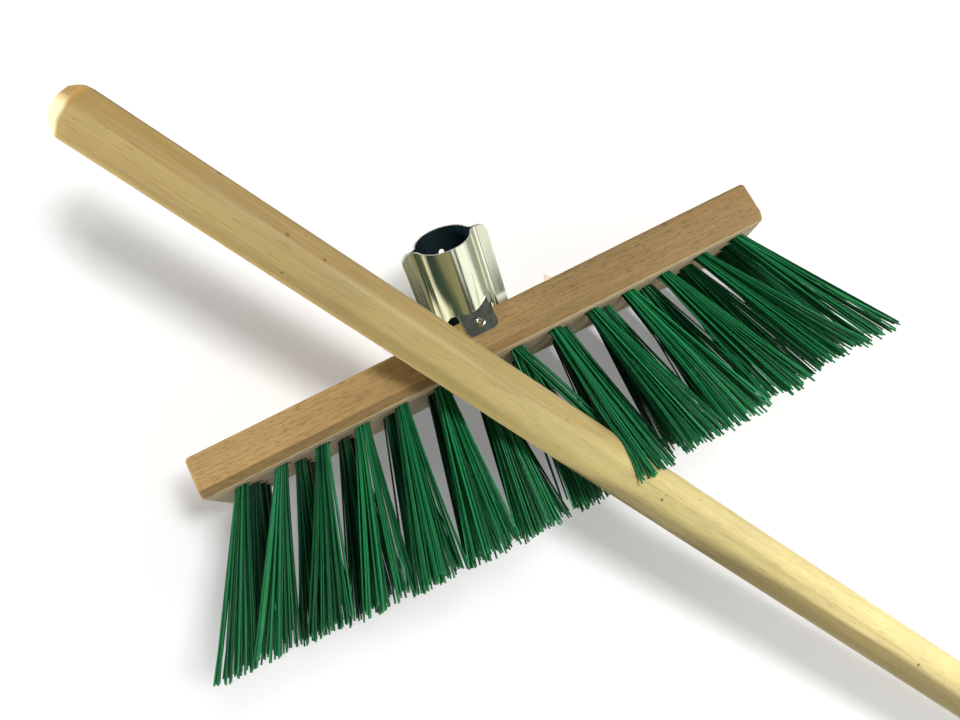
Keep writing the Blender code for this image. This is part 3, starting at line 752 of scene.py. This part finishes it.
def kept(geometry, name, value, kind="FLOAT"):
    """Stores a value on each point under a name."""
    inputs = {"Geometry": geometry, "Name": name, "Value": value}
    return tuft_node("StoreNamedAttribute", inputs, data_type=kind, domain="POINT")["Geometry"]


def named(name, kind="FLOAT"):
    """Reads back what is stored under a name."""
    return tuft_node("InputNamedAttribute", {"Name": name}, data_type=kind)["Attribute"]


def chance(low, high, salt):
    """A number for each bristle, from the seed."""
    inputs = {2: low, 3: high, "ID": named("strand", "INT"), "Seed": calc("ADD", given["Seed"], salt)}
    return add_node(tufting, "FunctionNodeRandomValue", inputs, data_type="FLOAT").outputs[1]


# Each root point becomes its bristles, and each bristle its bends
points = tuft_node("MeshToPoints", {"Mesh": given["Roots"]})["Points"]
strands = {"Geometry": points, "Amount": named("bristles", "INT")}
strands = tuft_node("DuplicateElements", strands, domain="POINT")["Geometry"]
whole = kept(strands, "strand", tuft_node("InputIndex", {})[0], "INT")
bends = tuft_node("DuplicateElements", {"Geometry": whole, "Amount": given["Bends"]}, domain="POINT")
along = calc("DIVIDE", bends["Duplicate Index"], calc("SUBTRACT", given["Bends"], 1.0))
whole = kept(bends["Geometry"], "along", along)

# Its place in the bunch, from the middle of the hole, grows into its place at the tip
reach = calc("SQRT", chance(0.0, 1.0, 1))
turn = chance(0.0, math.tau, 2)
grown = calc("POWER", named("along"), 1.15)
cut = calc("ADD", 1.0, calc("MULTIPLY", chance(-1.0, 1.0, 3), given["Ragged"]))
run = aim("SCALE", named("tuft_reach", "FLOAT_VECTOR"), calc("MULTIPLY", named("along"), cut))
bow = calc("MULTIPLY", calc("MULTIPLY", named("along"), calc("SUBTRACT", 1.0, named("along"))), given["Bow"])
place = aim("ADD", named("tuft_root", "FLOAT_VECTOR"), run)
for sweep, spread, salt, axis in (("COSINE", "spread_wide", 4, "Wide Axis"), ("SINE", "spread_deep", 5, "Deep Axis")):
    growth = calc("SUBTRACT", named(spread), given["Hole Radius"])
    out = calc("MULTIPLY_ADD", grown, growth, given["Hole Radius"])
    out = calc("MULTIPLY", calc("MULTIPLY", reach, calc(sweep, turn)), out)
    out = calc("MULTIPLY_ADD", bow, chance(-1.0, 1.0, salt), out)
    place = aim("ADD", place, aim("SCALE", given[axis], out))

# Round the handle: what would be inside it is pushed out to its skin, and nothing goes below the floor
off = aim("SUBTRACT", place, given["Handle End"])
lengthwise = aim("SCALE", given["Handle Along"], aim("DOT_PRODUCT", off, given["Handle Along"]))
sideways = aim("SUBTRACT", off, lengthwise)
pushed = calc("SMOOTH_MAX", aim("LENGTH", sideways), given["Handle Clearance"], given["Handle Ease"])
place = aim("ADD", aim("ADD", given["Handle End"], lengthwise), aim("SCALE", aim("NORMALIZE", sideways), pushed))
x, y, z = axes_of(tufting, place)
z = calc("MAXIMUM", z, calc("MULTIPLY", given["Bristle Radius"], 1.2))
rested = add_node(tufting, "ShaderNodeCombineXYZ", {0: x, 1: y, 2: z}).outputs[0]

whole = tuft_node("SetPosition", {"Geometry": whole, "Position": rested})["Geometry"]
toned = kept(whole, "tone", chance(0.0, 1.0, 6))
lines = {"Points": toned, "Curve Group ID": named("strand", "INT"), "Weight": named("along")}
lines = tuft_node("PointsToCurves", lines)[0]
ring = {"Resolution": 6, "Radius": given["Bristle Radius"]}
ring = tuft_node("CurvePrimitiveCircle", ring, mode="RADIUS")["Curve"]
drawn = tuft_node("CurveToMesh", {"Curve": lines, "Profile Curve": ring, "Fill Caps": True})["Mesh"]
rounded = tuft_node("SetShadeSmooth", {"Geometry": drawn})[0]
realized = tuft_node("RealizeInstances", {0: rounded})[0]
made = tuft_node("SetMaterial", {"Geometry": realized, "Material": given["Finish"]})[0]
tufting.links.new(made, result[0])

green_filament, tree, shader, vector = new_finish("green_filament", head_place)
tone, along, row_painted_shade = (
    add_node(tree, "ShaderNodeAttribute", {}, attribute_name=name).outputs["Fac"]
    for name in ("tone", "along", "row_painted_shade")
)
greens = ((0.003, 0.055, 0.018), (0.005, 0.118, 0.036), (0.009, 0.195, 0.058), (0.022, 0.290, 0.096))
streaks = plain_noise(tree, vector, 1.0, 240.0, 2.0)
colour = layered(
    tree,
    stepped(tree, tone, zip((0.0, 0.35, 0.75, 1.0), greens)),
    (ranged(tree, streaks, 0.4, 0.7), 0.20, (0.018, 0.260, 0.082)),
    # Painted shade: the rear rows and the left of the front row turn to near black greens
    (row_painted_shade, 1.0, tinted(tree, tone, (0.0004, 0.009, 0.004), (0.002, 0.048, 0.018))),
    (ranged(tree, along, 0.975, 1.0), 0.35, (0.08, 0.36, 0.14)),
)
settings = {
    "Base Color": colour,
    "Roughness": 0.40,
    "Specular IOR Level": 0.20,
    "Normal": bumped(tree, streaks, 0.00002),
}
feed(tree, shader, settings)

# Front tufts that part or are pushed aside, each bunch with its share, fan, lean and spread at the tips. The seventh
# and most of the eighth are pressed under the handle, the rest of the eighth turns along its flank, and the ninth
# lies over it.
pushed_tufts = {
    0: ((0.95, -23.5, -8.0, 0.0125, 0.0080), (0.05, -28.0, -8.0, 0.0045, 0.0036)),
    6: ((1.0, -7.5, 3.0, 0.0135, 0.0080),),
    7: ((0.65, -1.0, 14.0, 0.0120, 0.0060), (0.35, 19.5, 2.0, 0.0050, 0.0035)),
    8: ((1.0, 5.5, -3.5, 0.0125, 0.0070),),
    13: ((0.90, 21.5, -8.0, 0.0135, 0.0080), (0.10, 27.0, -10.0, 0.0070, 0.0040)),
}
front_places = tuft_places(0)
for row, back in enumerate(tuft_backs):
    places = tuft_places(row)
    roots = bpy.data.meshes.new("roots")
    seats, reaches, counts, widths, depths, shades = [], [], [], [], [], []
    for tuft, place_x in enumerate(places):
        share = (place_x - front_places[0]) / (front_places[-1] - front_places[0])
        fan = front_fans[tuft] if row == 0 else fan_left + (fan_right - fan_left) * share
        bunches = ((1.0, fan, row_leans[row], *tip_spread),)
        if row == 0:
            bunches = pushed_tufts.get(tuft, bunches)
        for part, sideways_fan, lean, wide, deep in bunches:
            sideways_fan, lean = math.radians(sideways_fan), math.radians(lean)
            drop = row_lengths[row] * math.cos(sideways_fan) * math.cos(lean)
            seats.append(head_place @ Vector((place_x, back, root_depth)))
            reaches.append(to_world @ (drop * Vector((math.tan(sideways_fan), math.tan(lean), -1))))
            counts.append(round(bristles_a_tuft * part))
            widths.append(wide)
            depths.append(deep)
            shades.append(left_shades[row] * (1 - share) + right_shades[row] * share)
    roots.from_pydata(seats, [], [])
    for name, values in (("tuft_root", seats), ("tuft_reach", reaches)):
        stored = roots.attributes.new(name, "FLOAT_VECTOR", "POINT")
        stored.data.foreach_set("vector", [v for point in values for v in point])
    for name, values in (("spread_wide", widths), ("spread_deep", depths), ("row_painted_shade", shades)):
        roots.attributes.new(name, "FLOAT", "POINT").data.foreach_set("value", values)
    roots.attributes.new("bristles", "INT", "POINT").data.foreach_set("value", counts)
    bundle = bpy.data.objects.new("bundle", roots)
    studio.collection.objects.link(bundle)
    modifier = bundle.modifiers.new("Tufting", "NODES")
    modifier.node_group = tufting
    inputs = {item.name: item.identifier for item in tufting.interface.items_tree if item.in_out == "INPUT"}
    modifier[inputs["Seed"]] = first_seed + row
    modifier[inputs["Finish"]] = green_filament
    graph = bpy.context.evaluated_depsgraph_get()
    mesh = bpy.data.meshes.new_from_object(bundle.evaluated_get(graph))
    bpy.data.objects.remove(bundle)
    names = [f"tuft_{row + 1}_{tuft + 1:02d}" for tuft in range(len(places))]
    bristles = finished(f"bristle_row_{row + 1}", mesh, (green_filament,), "head", *names)


# The socket: two shells pressed from thin steel sheet and zinc plated, set back to back to make a leaning tube
# between flat wings. The front shell has a tab down the block's face, the rear one a foot on its top.
bore_radius, sheet, gap = 0.0146, 0.0009, 0.0003
socket_length, socket_lean, socket_skew = 0.0558, math.radians(46.3), math.radians(2.65)
foot_x, foot_back = -0.0020, 0.0225
wing_span, wing_fillet, wing_corner = 0.0238, 0.0040, 0.0048
tab_width, tab_shift, tab_drop, tab_rise = 0.0178, 0.0022, 0.0110, 0.0080
tab_hole_drop, foot_hole_inset = 0.0052, 0.0045
foot_width, foot_reach, foot_overlap = 0.0200, 0.0100, 0.0060
plate_corner, sheared_edge_width = 0.0035, 0.00030
relief_radius, relief_gap, relief_rise = 0.0032, 0.0006, 0.0015
rivet_hole, rivet_depth = 0.0022, 0.008
nail_hole, nail_from_mouth = 0.0016, 0.0135
socket_place = Matrix.Translation((foot_x, foot_back, block_height))
socket_place = socket_place @ Matrix.Rotation(socket_lean, 4, "X") @ Matrix.Rotation(socket_skew, 4, "Y")
foot_end = foot_back + (bore_radius + sheet) / math.cos(socket_lean) + foot_reach
tab_middle = foot_x + tab_shift
face_on = Matrix.Rotation(math.pi / 2, 4, "X")
tab_seat = Matrix.Translation((tab_middle, -gap - sheet, block_height - tab_hole_drop)) @ face_on
foot_seat = Matrix.Translation((foot_x, foot_end - foot_hole_inset, block_height + gap + sheet))


def pressed_outline():
    """Half of a shell's section: wing, fillet and a quarter of the tube."""
    middle, level = bore_radius + sheet / 2, (gap + sheet) / 2
    centre_up = level + wing_fillet
    centre_out = math.sqrt((middle + wing_fillet) ** 2 - centre_up**2)
    meet = math.atan2(centre_up, centre_out)
    points = [(wing_span, level)]
    for step in range(11):
        turn = -math.pi / 2 - (math.pi / 2 - meet) * step / 11
        points.append((centre_out + wing_fillet * math.cos(turn), centre_up + wing_fillet * math.sin(turn)))
    for step in range(33):
        turn = meet + (math.pi / 2 - meet) * step / 32
        points.append((middle * math.cos(turn), middle * math.sin(turn)))
    return points


def pressed_shell(side):
    """The sheet of one shell with its thickness, in the head's frame."""
    half = pressed_outline()
    outline = half + [(-across, up) for across, up in reversed(half[:-1])]
    low = -2 * bore_radius * math.tan(socket_lean)
    shape = bmesh.new()
    points = [shape.verts.new((across, side * up, low)) for across, up in outline]
    lines = [shape.edges.new(pair) for pair in zip(points, points[1:])]
    drawn = bmesh.ops.extrude_edge_only(shape, edges=lines)
    top = [item for item in drawn["geom"] if isinstance(item, bmesh.types.BMVert)]
    bmesh.ops.translate(shape, verts=top, vec=(0, 0, socket_length - low))
    corners = [point for point in top if abs(abs(point.co.x) - wing_span) < gap]
    bmesh.ops.bevel(shape, geom=corners, offset=wing_corner, segments=8, profile=0.5, affect="VERTICES")
    flat = bpy.data.meshes.new("flat")
    shape.to_mesh(flat)
    shape.free()
    thick = worked(flat, ("SOLIDIFY", {"thickness": sheet, "offset": 0, "use_even_offset": True}))
    thick.transform(socket_place)
    shape = bmesh.new()
    shape.from_mesh(thick)
    return mesh_of(shape)


def blank(low, high):
    """A plain box between two corners."""
    shape = bmesh.new()
    low, high = Vector(low), Vector(high)
    size = Matrix.Diagonal((*(high - low), 1))
    bmesh.ops.create_cube(shape, size=1, matrix=Matrix.Translation((low + high) / 2) @ size)
    return shape


def plate_mesh(low, high, axis):
    """A flat plate, rounded at its free end."""
    shape = blank(low, high)
    end = low[2] if axis == 2 else high[1]
    rounded = []
    for edge in shape.edges:
        one, other = (point.co for point in edge.verts)
        if abs(one[axis] - end) < gap and abs(other[axis] - end) < gap and abs(one.x - other.x) < gap:
            rounded.append(edge)
    bmesh.ops.bevel(shape, geom=rounded, offset=plate_corner, segments=10, profile=0.5, affect="EDGES")
    return mesh_of(shape)


def rod_mesh(radius, length, *places):
    """Round cutters, each from its own place along its Z."""
    shape = bmesh.new()
    for place in places:
        drill(shape, radius, length, place @ Matrix.Translation((0, 0, length / 2)), 64)
    return mesh_of(shape)


def rivet_rod(seat):
    """The cutter of a rivet's hole, half of it on either side of the sheet."""
    return rod_mesh(rivet_hole, rivet_depth, seat @ Matrix.Translation((0, 0, -rivet_depth / 2)))


def bore_rod():
    """The cutter of the tube's bore, past both its ends."""
    reach = 0.08
    return rod_mesh(bore_radius, 2 * reach, socket_place @ Matrix.Translation((0, 0, -reach)))


def under_top():
    """The cutter of all that lies lower than the block's top face."""
    return mesh_of(blank((-0.05, -0.06, -0.06), (0.05, 0.12, block_height + gap)))


def cut_by(mesh, *cutters):
    """The mesh less each cutter."""
    return worked(mesh, *[boolean("DIFFERENCE", cutter) for cutter in cutters])


def finish_sheet(mesh):
    """Breaks the sheet's sheared edges and sets its shading and finishes: outside, inside of the tube in painted
    shade, and edges.
    """
    eased = worked(mesh, bevel(sheared_edge_width, 2, 40))
    to_bore = socket_place.inverted()
    turned_in, mouth_facing, flat_on = -0.3, 0.25, 0.97
    for face in eased.polygons:
        centre = to_bore @ face.center
        outward = to_bore.to_3x3() @ face.normal
        from_axis = math.hypot(centre.x, centre.y)
        inward = centre.x * outward.x + centre.y * outward.y < turned_in * from_axis
        in_bore = inward and from_axis < bore_radius + sheet * 0.3
        at_mouth = centre.z > socket_length - sheet and abs(outward.z) > mouth_facing
        on_wing = abs(centre.x) > wing_span - 1.1 * wing_corner and abs(outward.y) < flat_on
        on_tab = face.center.y < 0 and face.center.z < block_height and abs(face.normal.y) < flat_on
        face.material_index = 2 if at_mouth or on_wing or on_tab else int(in_bore)
    eased = worked(smoothed(eased, 30), even_normals)
    eased.transform(head_place)
    return eased


tab_low = (tab_middle - tab_width / 2, -gap - sheet, block_height - tab_drop)
tab_high = (tab_middle + tab_width / 2, -gap, block_height + tab_rise)
tab = cut_by(plate_mesh(tab_low, tab_high, 2), bore_rod())
front = worked(cut_by(pressed_shell(-1), under_top()), boolean("UNION", tab))
reliefs = []
for side in (-1, 1):
    across = tab_middle + side * (tab_width / 2 + relief_gap + relief_radius)
    reliefs.append(Matrix.Translation((across, foot_back, block_height + relief_rise)) @ face_on)
front = cut_by(front, rod_mesh(relief_radius, 0.03, *reliefs), rivet_rod(tab_seat))

foot_low = (foot_x - foot_width / 2, foot_end - foot_reach - foot_overlap, block_height - 0.004)
foot_high = (foot_x + foot_width / 2, foot_end, block_height + gap + sheet)
foot = cut_by(plate_mesh(foot_low, foot_high, 1), bore_rod())
rear = worked(pressed_shell(1), boolean("UNION", foot))
nail_seat = socket_place @ Matrix.Translation((0, 0, socket_length - nail_from_mouth))
nail_seat = nail_seat @ Matrix.Rotation(-math.pi / 2, 4, "X")
rear = cut_by(rear, under_top(), rivet_rod(foot_seat), rod_mesh(nail_hole, 0.02, nail_seat))

socket_frame = head_place @ socket_place @ Matrix.Rotation(math.radians(90), 4, "Y")
zinc_plate, tree, shader, vector = new_finish("zinc_plate", socket_frame)
marks = use_group(tree, handling_marks, {"Vector": vector, "Mark Scale": 1400.0, "Mark Share": 0.40})
streaks = plain_noise(tree, vector, 0.10, 420.0, 4.0, 0.6)
speckle = plain_noise(tree, vector, 0.70, 1500.0, 2.0, 0.6)
waves = plain_noise(tree, vector, 0.22, 95.0, 2.0)
colour = layered(
    tree,
    tinted(tree, ranged(tree, waves, 0.35, 0.65), (0.80, 0.80, 0.67), (0.89, 0.89, 0.77)),
    (ranged(tree, streaks, 0.55, 0.8), 0.25, (0.56, 0.64, 0.58)),
    (marks["Marks"], 0.35, (0.34, 0.36, 0.31)),
)
height = math_of(tree, "MULTIPLY_ADD", streaks, 0.18, math_of(tree, "MULTIPLY", waves, 0.9))
height = math_of(tree, "MULTIPLY_ADD", speckle, 0.06, height)
settings = {
    "Base Color": colour,
    "Metallic": 1.0,
    "Roughness": ranged(tree, streaks, 0.3, 0.7, 0.10, 0.17),
    "Normal": bumped(tree, height, 0.00010),
}
feed(tree, shader, settings)

# Painted shade: the inside of the tube is painted a near black blue green, as it lies in shade
zinc_inside_painted_shade, tree, shader, vector = new_finish("zinc_inside_painted_shade", socket_frame)
marks = use_group(tree, handling_marks, {"Vector": vector, "Mark Scale": 500.0, "Mark Share": 0.2})
dull = plain_noise(tree, vector, 0.3, 160.0, 3.0)
colour = tinted(tree, ranged(tree, dull, 0.35, 0.65), (0.010, 0.028, 0.034), (0.018, 0.044, 0.052))
settings = {
    "Base Color": layered(tree, colour, (marks["Grime"], 0.4, (0.030, 0.034, 0.036))),
    "Metallic": 0.60,
    "Roughness": ranged(tree, dull, 0.3, 0.7, 0.40, 0.55),
    "Specular IOR Level": 0.25,
    "Normal": bumped(tree, dull, 0.00006),
}
feed(tree, shader, settings)

sheared_edge, tree, shader, vector = new_finish("sheared_edge", socket_frame)
torn = plain_noise(tree, vector, 1.0, 900.0, 3.0, 0.6)
settings = {
    "Base Color": tinted(tree, ranged(tree, torn, 0.40, 0.65), (0.34, 0.35, 0.29), (0.86, 0.86, 0.76)),
    "Metallic": 0.35,
    "Roughness": 0.45,
    "Normal": bumped(tree, torn, 0.00005),
}
feed(tree, shader, settings)

edged = (zinc_plate, zinc_inside_painted_shade, sheared_edge)
front_piece = finished("pressed_front", finish_sheet(front), edged, "head", "socket_front_shell")
rear_piece = finished("pressed_rear", finish_sheet(rear), edged, "head", "socket_rear_shell")


# The eyelets: hollow rivets of zinc-plated steel with a rolled rim. They clamp the front shell's tab and the rear
# shell's foot to the block.
rim_radius, shank_radius, shank_depth, eyelet_bore = 0.00262, 0.0019, 0.0088, 0.00140
rim_seat, rim_sides = 0.00005, 48
eyelet_profile = [(eyelet_bore, -shank_depth), (eyelet_bore, 0.0001)]
for step in range(13):
    turn = math.pi * step / 12
    middle, roll = (rim_radius + eyelet_bore) / 2, (rim_radius - eyelet_bore) / 2
    eyelet_profile.append((middle - roll * math.cos(turn), 0.0002 + roll * 0.95 * math.sin(turn)))
eyelet_profile += [(rim_radius, rim_seat), (shank_radius, rim_seat), (shank_radius, -shank_depth)]
turns = [math.tau * side / rim_sides for side in range(rim_sides)]

for name, seat, stands_for in (("tab_rivet", tab_seat, "tab_eyelet"), ("foot_rivet", foot_seat, "foot_eyelet")):
    shape = bmesh.new()
    rings = []
    for radius, height in eyelet_profile:
        rings.append([shape.verts.new((radius * math.cos(t), radius * math.sin(t), gap + height)) for t in turns])
    for upper, lower in zip(rings, rings[1:] + rings[:1]):
        for side in range(rim_sides):
            after = (side + 1) % rim_sides
            shape.faces.new((upper[side], upper[after], lower[after], lower[side]))
    mesh = mesh_of(shape)
    mesh.transform(head_place @ seat)
    rivet = finished(name, smoothed(mesh, 50), (zinc_plate,), "head", stands_for)


low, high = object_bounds()
